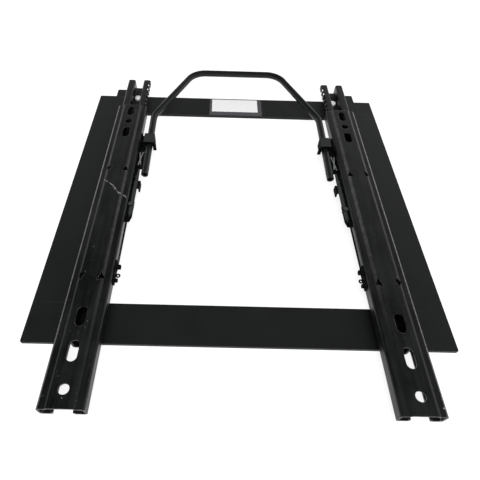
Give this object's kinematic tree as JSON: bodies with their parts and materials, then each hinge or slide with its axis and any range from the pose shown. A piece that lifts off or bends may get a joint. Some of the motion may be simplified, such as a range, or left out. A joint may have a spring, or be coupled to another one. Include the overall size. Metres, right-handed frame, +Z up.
{
  "type": "seat slide rail",
  "caption": "Flat welded base frame carrying low sliding seat rails with side lock levers, released together by a towel-bar handle.",
  "frame": {"origin": "under the middle of the whole outline, on the underside of the base frame", "axes": "+Y towards the front of the seat, +Z up, +X to the right when looking forward"},
  "size_m": [0.466, 0.5774, 0.0327],
  "materials": {
    "frame_coat": "fine textured black powder coat",
    "rail_coat": "satin black electrocoat",
    "handle_coat": "satin black powder coat",
    "pin_black": "black oxide",
    "zinc": "bright zinc plate",
    "acetal": "natural acetal"
  },
  "bodies": {
    "base": {"front_crossbar": "frame_coat", "rear_crossbar": "frame_coat", "side_plate_left": "frame_coat", "side_plate_right": "frame_coat", "front_foot_left": "frame_coat", "front_foot_right": "frame_coat", "lower_rail_left": "rail_coat", "lower_rail_right": "rail_coat", "rail_bolts": "zinc"},
    "carriage_left": {"upper_rail_left": "rail_coat", "glides_left": "acetal", "lock_bracket_left": "rail_coat", "handle_strap_left": "rail_coat", "pivot_pin_left": "pin_black", "lever_rivet_left": "pin_black", "spring_posts_left": "pin_black", "cross_spring_left": "zinc", "wire_anchor_left": "rail_coat", "return_wire_left": "pin_black"},
    "carriage_right": {"upper_rail_right": "rail_coat", "glides_right": "acetal", "lock_bracket_right": "rail_coat", "handle_strap_right": "rail_coat", "pivot_pin_right": "pin_black", "lever_rivet_right": "pin_black", "spring_posts_right": "pin_black", "cross_spring_right": "zinc", "wire_anchor_right": "rail_coat", "return_wire_right": "pin_black"},
    "lever_left": {"lock_lever_left": "rail_coat"},
    "lever_right": {"lock_lever_right": "rail_coat"},
    "handle": {"towel_bar": "handle_coat"}
  },
  "joints": [
    {"name": "slide_left", "type": "slide", "parent": "base", "child": "carriage_left", "axis": [0, 1, 0], "range_m": [-0.024, 0.168]},
    {"name": "slide_right", "type": "slide", "parent": "base", "child": "carriage_right", "axis": [0, 1, 0], "range_m": [-0.024, 0.168]},
    {"name": "handle_lift", "type": "hinge", "parent": "carriage_left", "child": "handle", "pos_m": [0, 0.09629, 0.0205], "axis": [1, 0, 0], "range_deg": [-4, 2]},
    {"name": "lever_left_turn", "type": "hinge", "parent": "carriage_left", "child": "lever_left", "pos_m": [-0.1402, -0.02671, 0.0185], "axis": [0, 0, -1], "range_deg": [-3.2, 1.6]},
    {"name": "lever_right_turn", "type": "hinge", "parent": "carriage_right", "child": "lever_right", "pos_m": [0.1402, -0.02671, 0.0185], "axis": [0, 0, 1], "range_deg": [-3.2, 1.6]}
  ],
  "couplings": [
    {"joint": "slide_right", "follows": "slide_left", "ratio": 1},
    {"joint": "lever_left_turn", "follows": "handle_lift", "ratio": 0.8},
    {"joint": "lever_right_turn", "follows": "handle_lift", "ratio": 0.8}
  ]
}
